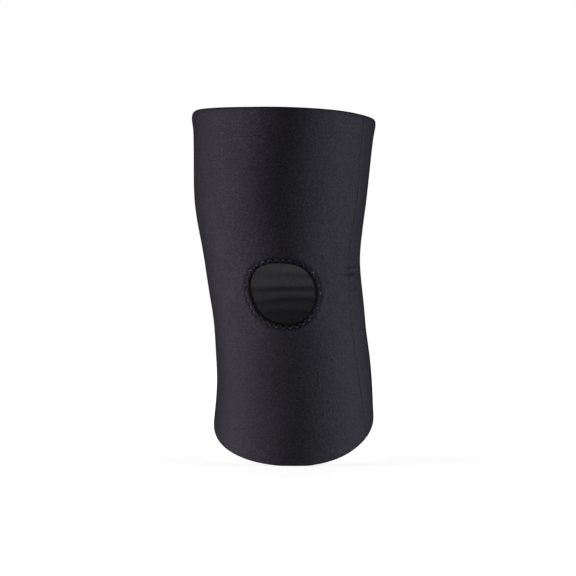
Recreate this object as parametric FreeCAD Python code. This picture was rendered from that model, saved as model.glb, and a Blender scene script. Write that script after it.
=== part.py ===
import FreeCAD, Part
import math
import os
from FreeCAD import Vector as V

# Pull-on knee sleeve with an open patella, millimetres.
# Frame: +Z up the thigh, -Y the front of the knee, +X the outer (seam) side.
# Origin: the centre of the knee, on the leg axis, level with the patella opening.
# Rest pose: the knee bent by THIGH_LEAN - SHANK_LEAN degrees.
# A place on the skin (the sleeve's outer face) is given by a station, measured
# along the leg axis, and an angle round it, from the front towards +X.

# ---- laminate ---------------------------------------------------------------
JERSEY_T = 0.40          # outer nylon jersey
FOAM_T = 2.40            # closed-cell chloroprene foam
LINING_T = 0.40          # inner nylon jersey
BOND_T = 0.05            # adhesive film between two plies, left as a gap

# Depths under the skin.
FOAM_TOP = JERSEY_T + BOND_T
FOAM_BOTTOM = FOAM_TOP + FOAM_T
LINING_TOP = FOAM_BOTTOM + BOND_T
FABRIC_T = LINING_TOP + LINING_T
PLIES = {
    "outer_jersey": (0.0, JERSEY_T),
    "foam_core": (FOAM_TOP, FOAM_BOTTOM),
    "inner_lining": (LINING_TOP, FABRIC_T),
}

# ---- leg axis ---------------------------------------------------------------
THIGH_LEAN = 3.0         # degrees, thigh axis leans to the back going up
SHANK_LEAN = -25.0       # degrees, shank axis leans to the back going down
BEND_FROM = -60.0        # the axis bends between these two stations
BEND_TO = 55.0
AXIS_REACH = 190         # the axis is tabulated this far each way, every 1 mm

# ---- outer face -------------------------------------------------------------
# Station, then the reach from the axis to the inner side (-X), outer side (+X),
# front (-Y) and back (+Y).
STATIONS = [
    (-165, 61.1, 73.1, 58.5, 62.6), (-150, 60.7, 73.0, 58.0, 63.2),
    (-135, 60.1, 72.7, 57.5, 63.8), (-120, 59.2, 72.4, 57.0, 64.2),
    (-105, 58.1, 71.8, 56.5, 64.3), (-90, 57.1, 71.0, 56.2, 64.0),
    (-75, 56.5, 70.0, 56.0, 63.4), (-60, 56.3, 68.5, 56.0, 62.3),
    (-45, 56.5, 66.8, 56.4, 61.0), (-30, 57.0, 65.2, 57.2, 59.8),
    (-15, 58.1, 63.8, 58.4, 59.0), (0, 60.3, 61.9, 59.6, 58.8),
    (15, 62.9, 60.0, 60.8, 59.4), (30, 65.6, 59.3, 62.2, 61.0),
    (45, 68.4, 60.4, 64.0, 63.3), (60, 71.0, 62.2, 65.8, 66.0),
    (75, 72.8, 64.5, 67.5, 68.6), (90, 73.4, 66.5, 69.0, 70.8),
    (105, 73.3, 68.1, 70.2, 72.6), (120, 73.4, 69.6, 71.2, 74.0),
    (135, 74.0, 71.8, 72.0, 75.0), (150, 74.5, 74.6, 72.5, 75.5),
    (165, 74.8, 77.3, 73.0, 76.0),
]
LOFT_FROM, LOFT_STEP, LOFT_SECTIONS = -143.0, 16.0, 20
LOFT_TO = LOFT_FROM + LOFT_STEP * (LOFT_SECTIONS - 1)
SECTION_POINTS = 24

# ---- cut rims: station at the axis, slope to the back, slope to +X ----------
TOP_RIM = (142.2, 0.032, -0.041)
BOTTOM_RIM = (-116.2, 0.105, 0.043)

# ---- zones of the continuous panel: planes through two (y, z) points --------
UPPER_SPLIT = ((-57.0, -33.0), (62.0, 55.0))
LOWER_SPLIT = ((-30.0, -82.0), (77.0, -45.0))
SPLIT_GAP = 0.10

# ---- patella opening: polar outline in the X-Z plane ------------------------
HOLE_X, HOLE_Z = -1.92, 1.05
HOLE_R = 24.45
# Order, cosine part, sine part.
HOLE_HARMONICS = [(2, 1.14, -1.11), (3, 0.07, 0.76), (4, -0.45, -0.12), (5, 0.16, 0.09)]
HOLE_POINTS = 48
HOLE_CUT_Y = -110        # the cutter starts in front of the knee
HOLE_CUT_DEPTH = 90
EDGE_STITCHES = 32       # zigzag periods round the opening
EDGE_STITCH_IN = 1.2     # from the cut edge to the inner needle holes
EDGE_STITCH_OUT = 4.0    # from the cut edge to the outer needle holes
EDGE_EXTRA_LIFT = 0.05   # these stitches stand a little further off the fabric

# ---- side seam: station, angle in degrees -----------------------------------
SEAM = [
    (-150, 65.3), (-109, 63.3), (-86, 60.0), (-64, 58.1), (-44, 56.6),
    (-26, 54.9), (-10, 54.0), (5, 54.2), (20, 56.1), (36, 59.5),
    (55, 61.5), (80, 60.9), (104, 59.7), (125, 59.3), (165, 57.6),
]
SLAB_STEPS = 20          # spans of a slab that follows the seam
SLAB_OVERRUN = 3         # past each end of the loft
SEAM_GAP = 0.50          # between the two butted panel edges
CEMENT_W = 0.42          # width of the cement line inside that gap
SEAM_PITCH = 4.5         # one zigzag period along the seam
SEAM_HALF_W = 1.9        # half the width of the zigzag
SEAM_INSET = 10          # the stitch run starts and ends this far inside the loft
SPLIT_CLEAR = 1.2        # needle holes keep this far from a zone split
RIM_CLEAR = SPLIT_CLEAR + 1.0
TAPE_W = 12.0            # inner tape
TAPE_T = 0.45

# ---- thread -----------------------------------------------------------------
THREAD_R = 0.25
THREAD_TRIM = 0.55 * THREAD_R + 0.15   # off each end of a straight run
GAP = 0.08               # clear distance between a thread and the fabric
THREAD_LIFT = GAP + THREAD_R

# ---- care label, blank ------------------------------------------------------
LABEL_W, LABEL_T = 26.0, 0.35
LABEL_LOW, LABEL_HIGH = 92.0, 128.0
LABEL_CUT_Y, LABEL_CUT_DEPTH = 20, 80  # this box reaches the back only
LABEL_ROWS = (2.0, 4.5)  # stitch rows, down from the top edge
LABEL_STITCHES = 6       # in a row
LABEL_STITCH_PITCH = 3.75
LABEL_STITCH_L = 2.9
LABEL_STITCH_INSET = 2.2  # from the -X edge to the first stitch

TAPE_DEPTH = FABRIC_T + GAP + 2 * THREAD_R + GAP
LABEL_DEPTH = FABRIC_T + GAP


# ---- leg axis and skin ------------------------------------------------------
def spline(xs, ys):
    """Natural cubic through (xs, ys)."""
    count = len(xs)
    step = [xs[i + 1] - xs[i] for i in range(count - 1)]
    # Forward sweep of the tridiagonal system for the quadratic coefficients.
    ratio, partial = [0.0] * count, [0.0] * count
    for i in range(1, count - 1):
        bend = 3 * (ys[i + 1] - ys[i]) / step[i] - 3 * (ys[i] - ys[i - 1]) / step[i - 1]
        pivot = 2 * (xs[i + 1] - xs[i - 1]) - step[i - 1] * ratio[i - 1]
        ratio[i] = step[i] / pivot
        partial[i] = (bend - step[i - 1] * partial[i - 1]) / pivot
    linear, quadratic, cubic = [0.0] * (count - 1), [0.0] * count, [0.0] * (count - 1)
    for j in range(count - 2, -1, -1):
        quadratic[j] = partial[j] - ratio[j] * quadratic[j + 1]
        linear[j] = ((ys[j + 1] - ys[j]) / step[j]
                     - step[j] * (quadratic[j + 1] + 2 * quadratic[j]) / 3)
        cubic[j] = (quadratic[j + 1] - quadratic[j]) / (3 * step[j])

    def value(x):
        j = 0
        while j < count - 2 and x > xs[j + 1]:
            j += 1
        dx = x - xs[j]
        return ys[j] + dx * (linear[j] + dx * (quadratic[j] + dx * cubic[j]))
    return value


def column_spline(table, column):
    """A spline of one column of a table over its first column."""
    return spline([float(row[0]) for row in table], [row[column] for row in table])


reach_inner, reach_outer, reach_front, reach_back = [
    column_spline(STATIONS, column) for column in (1, 2, 3, 4)]
seam_degrees = column_spline(SEAM, 1)


def lean(station):
    """Lean of the axis in radians, eased through the bend."""
    t = min(1.0, max(0.0, (station - BEND_FROM) / (BEND_TO - BEND_FROM)))
    return math.radians(SHANK_LEAN + (THIGH_LEAN - SHANK_LEAN) * t * t * (3 - 2 * t))


def axis_table():
    """(y, z) of the axis at each whole station, summed outwards from the origin."""
    table = {0: (0.0, 0.0)}
    for way in (1, -1):
        y = z = 0.0
        for i in range(AXIS_REACH):
            near, far = lean(way * i), lean(way * (i + 1))
            y += way * (math.sin(near) + math.sin(far)) / 2
            z += way * (math.cos(near) + math.cos(far)) / 2
            table[way * (i + 1)] = (y, z)
    return table


AXIS = axis_table()


def axis_frame(station):
    """The axis point, the direction up the axis and the direction to the back."""
    i = math.floor(station)
    t = station - i
    (y0, z0), (y1, z1) = AXIS[i], AXIS[i + 1]
    tilt = lean(station)
    return (V(0, y0 + (y1 - y0) * t, z0 + (z1 - z0) * t),
            V(0, math.sin(tilt), math.cos(tilt)),
            V(0, math.cos(tilt), -math.sin(tilt)))


def section(station):
    """Centre across, half width, centre to the back, half depth."""
    inner, outer = reach_inner(station), reach_outer(station)
    front, back = reach_front(station), reach_back(station)
    return (outer - inner) / 2, (outer + inner) / 2, (back - front) / 2, (back + front) / 2


def skin(angle, station, grow=0.0):
    """A point of the skin, with both half sizes of the section grown."""
    mid_x, half_w, mid_back, half_d = section(station)
    centre, _, back = axis_frame(station)
    across = mid_x + (half_w + grow) * math.sin(angle)
    behind = mid_back - (half_d + grow) * math.cos(angle)
    return centre + V(across, 0, 0) + back * behind


def outward(angle, station, turn=0.01, climb=0.5):
    """Unit normal of the skin, from differences round and along it."""
    around = skin(angle + turn, station) - skin(angle - turn, station)
    along = skin(angle, station + climb) - skin(angle, station - climb)
    normal = around.cross(along)
    normal.normalize()
    return normal


def lifted(angle, station, lift):
    """A point at a true distance off the skin, along its normal."""
    return skin(angle, station) + outward(angle, station) * lift


def lifted_over(x, z, lift, at_back=False):
    """The lifted point whose foot on the front or back of the skin is at (x, z)."""
    station, angle = z, 0.0
    for _ in range(40):
        mid_x, half_w, _mid_back, _half_d = section(station)
        angle = math.asin(max(-0.95, min(0.95, (x - mid_x) / half_w)))
        if at_back:
            angle = math.pi - angle
        station += 0.8 * (z - skin(angle, station).z)
    return lifted(angle, station, lift)


# ---- solids and cutters -----------------------------------------------------
def loft(wires):
    """A smooth solid through the wires."""
    solid, ruled, closed = True, False, False
    return Part.makeLoft(wires, solid, ruled, closed)


def column(grow):
    """The solid inside the skin grown by grow; each section starts at the back."""
    knots = [k / float(SECTION_POINTS) for k in range(SECTION_POINTS + 1)]
    wires = []
    for i in range(LOFT_SECTIONS):
        station = LOFT_FROM + LOFT_STEP * i
        points = [skin(math.pi + 2 * math.pi * k / SECTION_POINTS, station, grow)
                  for k in range(SECTION_POINTS)]
        curve = Part.BSplineCurve()
        curve.interpolate(Points=points, PeriodicFlag=True, Parameters=knots)
        wires.append(Part.Wire([curve.toShape()]))
    return loft(wires)


def half_space(point, normal, size=700.0):
    """A big box on the side of the plane that normal points to."""
    box = Part.makeBox(size, size, size / 2, V(-size / 2, -size / 2, 0))
    box.Placement = FreeCAD.Placement(point, FreeCAD.Rotation(V(0, 0, 1), normal))
    return box


def rim_plane(spec):
    """A point and the upward normal of a cut rim."""
    station, slope_back, slope_x = spec
    centre, up, back = axis_frame(station)
    normal = up - back * slope_back - V(1, 0, 0) * slope_x
    normal.normalize()
    return centre, normal


def split_planes(spec):
    """Points on the upper and lower faces of a split gap, and the upward normal."""
    (y0, z0), (y1, z1) = spec
    normal = V(0, -(z1 - z0), y1 - y0)
    normal.normalize()
    middle = V(0, y0, z0)
    return middle + normal * (SPLIT_GAP / 2), middle - normal * (SPLIT_GAP / 2), normal


def seam_slab(width, above, under):
    """A twisted slab along the seam, from under the skin to above it."""
    first = LOFT_FROM - SLAB_OVERRUN
    span = LOFT_TO - LOFT_FROM + 2 * SLAB_OVERRUN
    wires = []
    for k in range(SLAB_STEPS + 1):
        station = first + k * span / SLAB_STEPS
        angle = math.radians(seam_degrees(station))
        foot = skin(angle, station)
        normal = outward(angle, station)
        _, up, _ = axis_frame(station)
        side = up.cross(normal)
        side.normalize()
        top, bottom, half = foot + normal * above, foot - normal * under, side * (width / 2)
        corners = [top + half, top - half, bottom - half, bottom + half]
        wires.append(Part.makePolygon(corners + [corners[0]]))
    return loft(wires)


def hole_edge(angle, grow=0.0):
    """(x, z) on the outline of the opening, angle from +X towards +Z."""
    radius = HOLE_R + grow
    for order, cosine, sine in HOLE_HARMONICS:
        radius += cosine * math.cos(order * angle) + sine * math.sin(order * angle)
    return HOLE_X + radius * math.cos(angle), HOLE_Z + radius * math.sin(angle)


def hole_cutter():
    outline = [hole_edge(2 * math.pi * k / HOLE_POINTS) for k in range(HOLE_POINTS)]
    curve = Part.BSplineCurve()
    curve.interpolate(Points=[V(x, HOLE_CUT_Y, z) for x, z in outline], PeriodicFlag=True)
    return Part.Face(Part.Wire([curve.toShape()])).extrude(V(0, HOLE_CUT_DEPTH, 0))


top_point, top_normal = rim_plane(TOP_RIM)
low_point, low_normal = rim_plane(BOTTOM_RIM)
above_rim = half_space(top_point, top_normal)
below_rim = half_space(low_point, low_normal * -1)

upper_top, upper_bottom, upper_normal = split_planes(UPPER_SPLIT)
lower_top, lower_bottom, lower_normal = split_planes(LOWER_SPLIT)
# What is cut away to leave each zone.
ZONE_CUTTERS = {
    "thigh": [half_space(upper_top, upper_normal * -1)],
    "knee": [half_space(upper_bottom, upper_normal),
             half_space(lower_top, lower_normal * -1)],
    "calf": [half_space(lower_bottom, lower_normal)],
}


def shell(outer_depth, inner_depth):
    """A layer between two depths under the skin, cut at both rims."""
    layer = column(-outer_depth).cut(column(-inner_depth))
    return layer.cut(above_rim).cut(below_rim)


def thread(points):
    """One short cylinder per straight run, each clear of the next."""
    runs = []
    for start, end in zip(points[:-1], points[1:]):
        along = end - start
        length = along.Length
        along.normalize()
        runs.append(Part.makeCylinder(THREAD_R, length - 2 * THREAD_TRIM,
                                      start + along * THREAD_TRIM, along))
    return runs


def save(name, shape):
    solids = [solid for solid in shape.Solids if solid.Volume > 1e-4]
    for solid in solids:
        if not solid.isValid():
            raise RuntimeError(name + " is not valid")
    out = solids[0] if len(solids) == 1 else Part.makeCompound(solids)
    out.exportStep("parts/" + name + ".step")


def save_zones(name, shape):
    """Save the part of the shape in each zone."""
    for zone, cutters in ZONE_CUTTERS.items():
        piece = shape
        for cutter in cutters:
            piece = piece.cut(cutter)
        save(name + "_" + zone, piece)


# ---- pieces -----------------------------------------------------------------
def make_plies():
    """The three plies, and the cement line in the foam's seam gap."""
    hole = hole_cutter()
    gap_slab = seam_slab(SEAM_GAP, above=6.0, under=9.0)
    for name, (outer_depth, inner_depth) in PLIES.items():
        ply = shell(outer_depth, inner_depth)
        save_zones(name, ply.cut(gap_slab).cut(hole))
        if name == "foam_core":
            cement_slab = seam_slab(CEMENT_W, above=5.0, under=8.0)
            save_zones("seam_cement", ply.common(cement_slab))


def make_seam_tape():
    """The inner tape, over the seam and its under thread."""
    tape_slab = seam_slab(TAPE_W, above=2.0, under=12.0)
    tape = shell(TAPE_DEPTH, TAPE_DEPTH + TAPE_T).common(tape_slab)
    save_zones("inner_seam_tape", tape)


def zone_of(point):
    """Which zone a point is in, or None near a split or a rim."""
    if ((point - top_point).dot(top_normal) > -RIM_CLEAR
            or (point - low_point).dot(low_normal) < RIM_CLEAR):
        return None
    over_upper = (point - upper_top).dot(upper_normal)
    over_lower = (point - lower_bottom).dot(lower_normal)
    if over_upper > SPLIT_CLEAR:
        return "thigh"
    if over_upper < -SPLIT_CLEAR and over_lower > SPLIT_CLEAR:
        return "knee"
    if over_lower < -SPLIT_CLEAR:
        return "calf"
    return None


def make_seam_stitches(name, lift):
    """A zigzag along the seam; runs that cross a split are left out."""
    runs = {zone: [] for zone in ZONE_CUTTERS}
    station, side, last = LOFT_FROM + SEAM_INSET, 1, None
    while station < LOFT_TO - SEAM_INSET:
        angle = math.radians(seam_degrees(station))
        _, half_w, _, half_d = section(station)
        arc_per_radian = math.hypot(half_w * math.cos(angle), half_d * math.sin(angle))
        point = lifted(angle + side * SEAM_HALF_W / arc_per_radian, station, lift)
        if last is not None:
            zone = zone_of(last)
            if zone and zone == zone_of(point):
                runs[zone] += thread([last, point])
        last = point
        side = -side
        station += SEAM_PITCH / 2
    for zone in runs:
        save(name + "_" + zone, Part.makeCompound(runs[zone]))


def make_edge_stitches(name, lift):
    """A closed zigzag round the patella opening."""
    points = []
    for k in range(2 * EDGE_STITCHES):
        grow = EDGE_STITCH_IN if k % 2 else EDGE_STITCH_OUT
        x, z = hole_edge(math.pi * k / EDGE_STITCHES, grow)
        points.append(lifted_over(x, z, lift))
    save(name, Part.makeCompound(thread(points + [points[0]])))


def make_care_label():
    """The blank label inside the back, below the top rim."""
    box = Part.makeBox(LABEL_W, LABEL_CUT_DEPTH, LABEL_HIGH - LABEL_LOW,
                       V(-LABEL_W / 2, LABEL_CUT_Y, LABEL_LOW))
    save("care_label", shell(LABEL_DEPTH, LABEL_DEPTH + LABEL_T).common(box))


def make_label_stitches():
    """Two rows of straight stitches on the label's inner face."""
    lift = -(LABEL_DEPTH + LABEL_T + THREAD_LIFT)
    runs = []
    for drop in LABEL_ROWS:
        for k in range(LABEL_STITCHES):
            x = -LABEL_W / 2 + LABEL_STITCH_INSET + k * LABEL_STITCH_PITCH
            runs += thread([lifted_over(end_x, LABEL_HIGH - drop, lift, at_back=True)
                            for end_x in (x, x + LABEL_STITCH_L)])
    save("care_label_stitches", Part.makeCompound(runs))


os.makedirs("parts", exist_ok=True)
make_plies()
make_seam_tape()
make_seam_stitches("seam_zigzag_thread", THREAD_LIFT)
make_seam_stitches("seam_under_thread", -(FABRIC_T + THREAD_LIFT))
make_edge_stitches("patella_edge_thread", THREAD_LIFT + EDGE_EXTRA_LIFT)
make_edge_stitches("patella_edge_under_thread", -(FABRIC_T + THREAD_LIFT + EDGE_EXTRA_LIFT))
make_care_label()
make_label_stitches()
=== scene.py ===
"""A knee sleeve: jersey, foam and lining bonded into one cloth, closed by a butt seam that
runs down the front on the +X side, with a stitched round opening over the kneecap.

The leg runs along Z with the thigh up; the front of the knee faces -Y and the knee is
slightly bent. The cloth is worked out in millimetres from two surface coordinates:
  angle    radians round the leg, 0 at the front and growing towards +X
  station  millimetres along the bent leg axis, 0 at the knee
The meshes are in metres.
"""
import math
from collections import namedtuple

import bpy
import numpy as np
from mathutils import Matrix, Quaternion, Vector


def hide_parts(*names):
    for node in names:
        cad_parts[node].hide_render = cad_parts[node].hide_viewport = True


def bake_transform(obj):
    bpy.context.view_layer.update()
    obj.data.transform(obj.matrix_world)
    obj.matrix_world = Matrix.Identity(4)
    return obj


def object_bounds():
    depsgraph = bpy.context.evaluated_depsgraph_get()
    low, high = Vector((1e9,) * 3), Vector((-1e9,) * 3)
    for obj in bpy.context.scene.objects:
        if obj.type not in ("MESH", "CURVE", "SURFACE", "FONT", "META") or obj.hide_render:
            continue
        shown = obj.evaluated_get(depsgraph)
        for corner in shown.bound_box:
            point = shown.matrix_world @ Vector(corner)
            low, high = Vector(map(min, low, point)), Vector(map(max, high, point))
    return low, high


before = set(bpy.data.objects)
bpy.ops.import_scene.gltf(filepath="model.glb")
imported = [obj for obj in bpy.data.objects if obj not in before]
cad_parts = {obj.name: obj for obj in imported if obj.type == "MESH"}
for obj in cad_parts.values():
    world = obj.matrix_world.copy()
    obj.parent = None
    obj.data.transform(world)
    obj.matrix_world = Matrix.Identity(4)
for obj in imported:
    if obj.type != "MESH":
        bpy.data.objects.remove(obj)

CAD_BOX = [list(corner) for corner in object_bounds()]
PI = math.pi

# =============================================================================
# Dimensions, in millimetres
# =============================================================================
# station, then the reach from the axis to -X, +X, front (-Y) and back (+Y)
STATIONS = np.array([
    (-165, 61.1, 73.1, 58.5, 62.6), (-150, 60.7, 73.0, 58.0, 63.2),
    (-135, 60.1, 72.7, 57.5, 63.8), (-120, 59.2, 72.4, 57.0, 64.2),
    (-105, 58.1, 71.8, 56.5, 64.3), (-90, 57.1, 71.0, 56.2, 64.0),
    (-75, 56.5, 70.0, 56.0, 63.4), (-60, 56.3, 68.5, 56.0, 62.3),
    (-45, 56.5, 66.8, 56.4, 61.0), (-30, 57.0, 65.2, 57.2, 59.8),
    (-15, 58.1, 63.8, 58.4, 59.0), (0, 60.3, 61.9, 59.6, 58.8),
    (15, 62.9, 60.0, 60.8, 59.4), (30, 65.6, 59.3, 62.2, 61.0),
    (45, 68.4, 60.4, 64.0, 63.3), (60, 71.0, 62.2, 65.8, 66.0),
    (75, 72.8, 64.5, 67.5, 68.6), (90, 73.4, 66.5, 69.0, 70.8),
    (105, 73.3, 68.1, 70.2, 72.6), (120, 73.4, 69.6, 71.2, 74.0),
    (135, 74.0, 71.8, 72.0, 75.0), (150, 74.5, 74.6, 72.5, 75.5),
    (165, 74.8, 77.3, 73.0, 76.0)], float)
# station, angle of the seam in degrees
SEAM = np.array([
    (-150, 65.3), (-109, 63.3), (-86, 60.0), (-64, 58.1), (-44, 56.6),
    (-26, 54.9), (-10, 54.0), (5, 54.2), (20, 56.1), (36, 59.5),
    (55, 61.5), (80, 60.9), (104, 59.7), (125, 59.3), (165, 57.6)], float)
GIRTH_R = 66.0                              # turns angle into millimetres of cloth
# lean of the axis towards the back (degrees) and the stations between which it bends
THIGH_LEAN, SHANK_LEAN = 3.0, -25.0
BEND_FROM, BEND_TO = -60.0, 55.0

# kneecap opening: centre, mean radius, and (order, cosine, sine) of its outline
HOLE_X, HOLE_Z, HOLE_R = -1.92, 1.05, 24.45
HOLE_HARMONICS = [(2, 1.14, -1.11), (3, 0.07, 0.76), (4, -0.45, -0.12), (5, 0.16, 0.09)]
EDGE_GROW = 0.52                            # the cut edge lies this far outside the outline
RING_PAIRS, RING_INNER, RING_OUTER = 32, 1.2, 4.0      # zigzag round the opening

# depths of each layer below the outer face
JERSEY = (0.0, 0.40)
FOAM = (0.45, 2.85)
LINING = (2.90, 3.30)
SEAM_GAP = 0.50
SEAM_PITCH, SEAM_HALF_W = 4.5, 1.9          # zigzag along the seam
STITCH_DATUM = 400.0                        # seam stitches are counted from this far below 0

# slow wander of the cut rims off their planes: height, angle, angular width
TOP_WAVES = ((0.48, 0.62, 0.40), (-0.40, -0.42, 0.32), (0.55, -1.20, 0.24))
BOTTOM_WAVES = ((-1.75, 0.58, 0.42), (-0.55, 0.12, 0.26), (-1.15, -1.18, 0.42),
                (0.20, -0.25, 0.28), (0.15, 1.30, 0.20))

# undulation of the soft shell: height, waves round, radians per station mm, phase
UNDULATION = ((0.22, 3, 0.045, 0.6), (0.16, 5, -0.06, 2.1), (0.12, 2, 0.11, 4.0))
# creases behind the knee: station, tilt, depth, width, angular reach
CREASES = ((31, 3.5, 0.45, 4.4, 0.95), (15, -2.0, 0.85, 4.6, 1.0), (-2, 2.5, 1.10, 5.0, 1.05),
           (-19, -3.0, 0.80, 4.8, 1.0), (-36, 2.0, 0.40, 4.8, 0.9))
# puckers from the seam towards the back: station, rise over 40 mm, depth, width,
# then where they start and end, measured from the seam
PUCKERS = ((23.2, 2, 0.85, 1.30, 0, 24), (18.4, 3.4, 1.25, 1.50, 0, 22),
           (13.2, -2, 0.30, 1.6, 4, 20), (8.4, 2.4, 0.75, 1.40, 1, 25),
           (-3.0, -3, 0.30, 2.0, 4, 17), (29.5, 3, 0.22, 2.2, 3, 17))
# proud edge, sunk stitch ring and low ridge of the opening: height, place, width
HOLE_RINGS = ((0.06, 0, 1.6), (-0.28, 2.1, 1.7), (0.20, 5.9, 2.0))


# =============================================================================
# The plain surface
# =============================================================================
def natural_spline(knots, values):
    """Natural cubic through the points, as a function that takes arrays."""
    count = len(knots)
    gap = np.diff(knots)
    matrix = np.zeros((count, count))
    target = np.zeros(count)
    matrix[0, 0] = matrix[-1, -1] = 1.0
    for i in range(1, count - 1):
        matrix[i, i - 1:i + 2] = gap[i - 1], 2 * (gap[i - 1] + gap[i]), gap[i]
        target[i] = 6 * ((values[i + 1] - values[i]) / gap[i]
                         - (values[i] - values[i - 1]) / gap[i - 1])
    second = np.linalg.solve(matrix, target)

    def curve(x):
        x = np.asarray(x, float)
        j = np.clip(np.searchsorted(knots, x) - 1, 0, count - 2)
        past, ahead, step = x - knots[j], knots[j + 1] - x, gap[j]
        return ((second[j] * ahead ** 3 + second[j + 1] * past ** 3) / (6 * step)
                + (values[j] / step - second[j] * step / 6) * ahead
                + (values[j + 1] / step - second[j + 1] * step / 6) * past)
    return curve


reach_minus_x, reach_plus_x, reach_front, reach_back = [
    natural_spline(STATIONS[:, 0], STATIONS[:, column]) for column in (1, 2, 3, 4)]
seam_degrees = natural_spline(SEAM[:, 0], SEAM[:, 1])


def seam_angle(station):
    return np.radians(seam_degrees(station))


def wrap(angle):
    return (angle + PI) % (2 * PI) - PI


def bump(x, width):
    return np.exp(-(x / width) ** 2)


def smooth(start, end, x):
    t = np.clip((x - start) / (end - start), 0, 1)
    return t * t * (3 - 2 * t)


def axis_lean(station):
    bend = smooth(BEND_FROM, BEND_TO, np.asarray(station, float))
    return np.radians(SHANK_LEAN + (THIGH_LEAN - SHANK_LEAN) * bend)


def axis_path(slope):
    """Running sum of a slope sampled each millimetre, zero at station 0."""
    path = np.concatenate([[0], np.cumsum((slope[1:] + slope[:-1]) / 2)])
    return path - path[len(path) // 2]


AXIS_STATION = np.arange(-190.0, 191.0)
AXIS_Y = axis_path(np.sin(axis_lean(AXIS_STATION)))
AXIS_Z = axis_path(np.cos(axis_lean(AXIS_STATION)))


def axis_point(station):
    return np.interp(station, AXIS_STATION, AXIS_Y), np.interp(station, AXIS_STATION, AXIS_Z)


def surface(angle, station):
    angle, station = np.broadcast_arrays(np.asarray(angle, float), np.asarray(station, float))
    left, right = reach_minus_x(station), reach_plus_x(station)
    front, back = reach_front(station), reach_back(station)
    (y, z), lean = axis_point(station), axis_lean(station)
    side = (right - left) / 2 + (right + left) / 2 * np.sin(angle)
    depth = (back - front) / 2 - (back + front) / 2 * np.cos(angle)
    return np.stack([side, y + depth * np.cos(lean), z - depth * np.sin(lean)], -1)


def surface_normal(angle, station):
    around = surface(angle + 0.01, station) - surface(angle - 0.01, station)
    along = surface(angle, station + 0.6) - surface(angle, station - 0.6)
    out = np.cross(around, along)
    return out / np.linalg.norm(out, axis=-1, keepdims=True)


def wall_coordinates(x, z, back=False):
    """Angle and station of the front or back wall at a given x and height."""
    station = z.copy()
    for _ in range(60):
        left, right = reach_minus_x(station), reach_plus_x(station)
        angle = np.arcsin(np.clip((x - (right - left) / 2) / ((right + left) / 2), -0.97, 0.97))
        if back:
            angle = PI - angle
        station = station + 0.8 * (z - surface(angle, station)[..., 2])
    return angle, station


# ---- the two cut rims ----------------------------------------------------------
Rim = namedtuple("Rim", "origin normal waves search_from")


def rim_plane(station, rise_back, rise_x, waves, search_from):
    """A rim's plane crosses the axis at a station and slopes towards the back and +X."""
    lean = float(axis_lean(station))
    up = np.array([0, math.sin(lean), math.cos(lean)])
    back = np.array([0, math.cos(lean), -math.sin(lean)])
    normal = up - back * rise_back - np.array([1.0, 0, 0]) * rise_x
    origin = np.array([0, *axis_point(station)])
    return Rim(origin, normal / np.linalg.norm(normal), waves, search_from)


TOP = rim_plane(142.2, 0.032, -0.041, TOP_WAVES, search_from=139.0)
BOTTOM = rim_plane(-116.2, 0.105, 0.043, BOTTOM_WAVES, search_from=-118.0)


def above_rim(point, angle, rim):
    angle = wrap(angle)
    wave = sum(height * bump(angle - place, width) for height, place, width in rim.waves)
    return (point - rim.origin) @ rim.normal - wave


def rim_station(from_seam, rim):
    """Where columns of cloth, given in radians round from the seam, meet a rim."""
    station = np.full_like(from_seam, rim.search_from)
    for _ in range(30):
        angle = seam_angle(station) + from_seam
        station = station - above_rim(surface(angle, station), angle, rim)
    return station


# ---- the opening ----------------------------------------------------------------
def hole_radius(bearing):
    radius = np.full_like(np.asarray(bearing, float), HOLE_R)
    for order, cosine, sine in HOLE_HARMONICS:
        radius = radius + cosine * np.cos(order * bearing) + sine * np.sin(order * bearing)
    return radius


def hole_polar(point):
    """Distance and bearing from the centre of the opening, seen from the front."""
    dx, dz = point[..., 0] - HOLE_X, point[..., 2] - HOLE_Z
    return np.hypot(dx, dz), np.arctan2(dz, dx)


def hole_outline(bearing, grow):
    """x and z of the outline, moved outwards by grow."""
    radius = hole_radius(bearing) + grow
    return HOLE_X + radius * np.cos(bearing), HOLE_Z + radius * np.sin(bearing)


def hole_distance(point):
    """Distance outside the cut edge of the opening, 99 away from the front."""
    radius, bearing = hole_polar(point)
    outside = radius - hole_radius(bearing) - EDGE_GROW
    return np.where((point[..., 1] < -10) & (outside < 60), outside, 99.0)


# needle holes of the ring, alternately far out and close in
hole_number = np.arange(2 * RING_PAIRS)
hand = np.random.default_rng(11)
ring_bearing = PI * hole_number / RING_PAIRS + hand.normal(0, 0.006, len(hole_number))
ring_grow = (np.where(hole_number % 2 == 1, RING_INNER, RING_OUTER)
             + hand.normal(0, 0.10, len(hole_number)))
RING_X, RING_Z = hole_outline(ring_bearing, ring_grow)


# =============================================================================
# Relief: how far the cloth stands off the plain surface
# =============================================================================
def add_creases(whole, angle, station):
    """Valleys behind the bent knee, with rolls between them and a low swell under all."""
    from_back = wrap(angle - PI)
    for place, tilt, depth, width, reach in CREASES:
        # each line tilts, and curves away from the knee towards the sides
        bow = 9.0 * (1 - np.cos(from_back)) * np.sign(place + 3)
        line = station - (place + tilt * np.sin(1.6 * from_back + place) + bow)
        window = np.exp(-(np.abs(from_back + 0.05 * math.sin(place)) / reach) ** 3)
        whole -= depth * bump(line, width) * window
        whole += 0.42 * depth * (bump(line - 7.5, 4.5) + bump(line + 7.5, 4.5)) * window
    whole += 0.5 * np.exp(-(np.abs(from_back) / 0.92) ** 3.2) * bump(station + 3, 40)


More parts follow.
